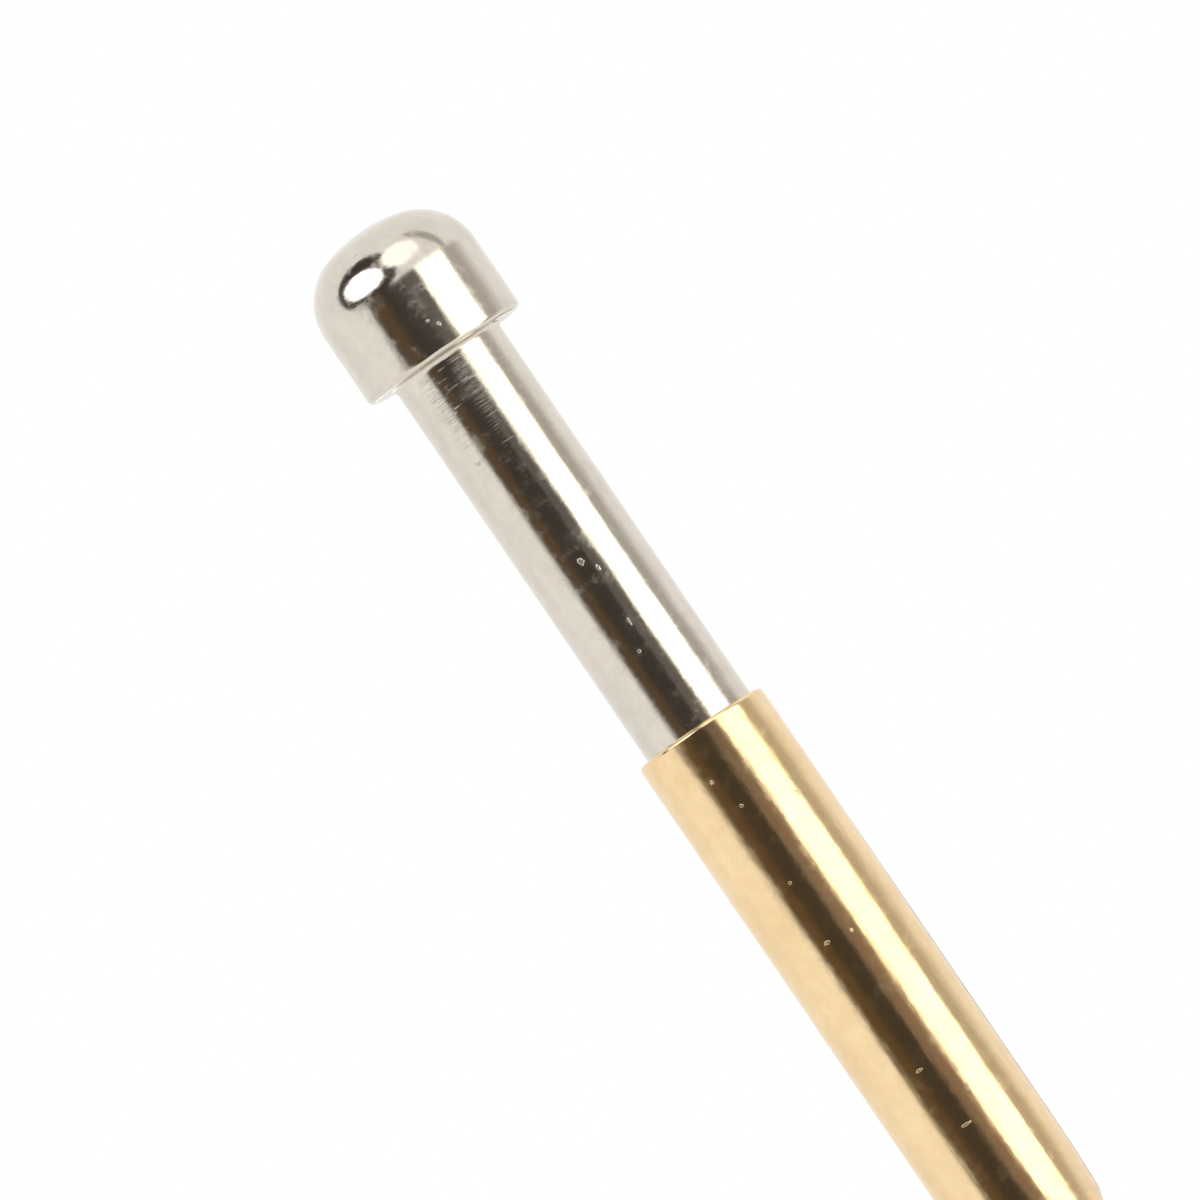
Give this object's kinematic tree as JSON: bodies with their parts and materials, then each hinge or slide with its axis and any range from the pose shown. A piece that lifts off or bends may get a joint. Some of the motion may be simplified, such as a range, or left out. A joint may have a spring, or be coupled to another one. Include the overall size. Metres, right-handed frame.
{
  "type": "pogo pin",
  "caption": "Spring-loaded contact pin: a plunger with a domed head slides in a thin gold-plated barrel over a coil spring, held in by dents in the barrel.",
  "frame": {"origin": "centre of the barrel's closed tail end, on the pin's axis", "axes": "+Z along the pin's axis, from the tail towards the domed head; one of the barrel's three dents faces +X"},
  "size_m": [0.0012, 0.0012, 0.0165],
  "materials": {
    "gold_plate": "bright gold plating on a drawn tube, with fine marks along and across it",
    "nickel_plate": "bright nickel plating on a turned pin, with faint turning marks",
    "spring_wire": "drawn spring wire"
  },
  "bodies": {
    "barrel": {"barrel": "gold_plate", "spring": "spring_wire"},
    "plunger": {"plunger": "nickel_plate"}
  },
  "joints": [
    {"name": "plunger_slide", "type": "slide", "parent": "barrel", "child": "plunger", "axis": [0, 0, -1], "range_m": [0, 0.00265], "stiffness_N_per_m": 360, "springref_m": -0.00096, "deforming": ["spring"]}
  ]
}
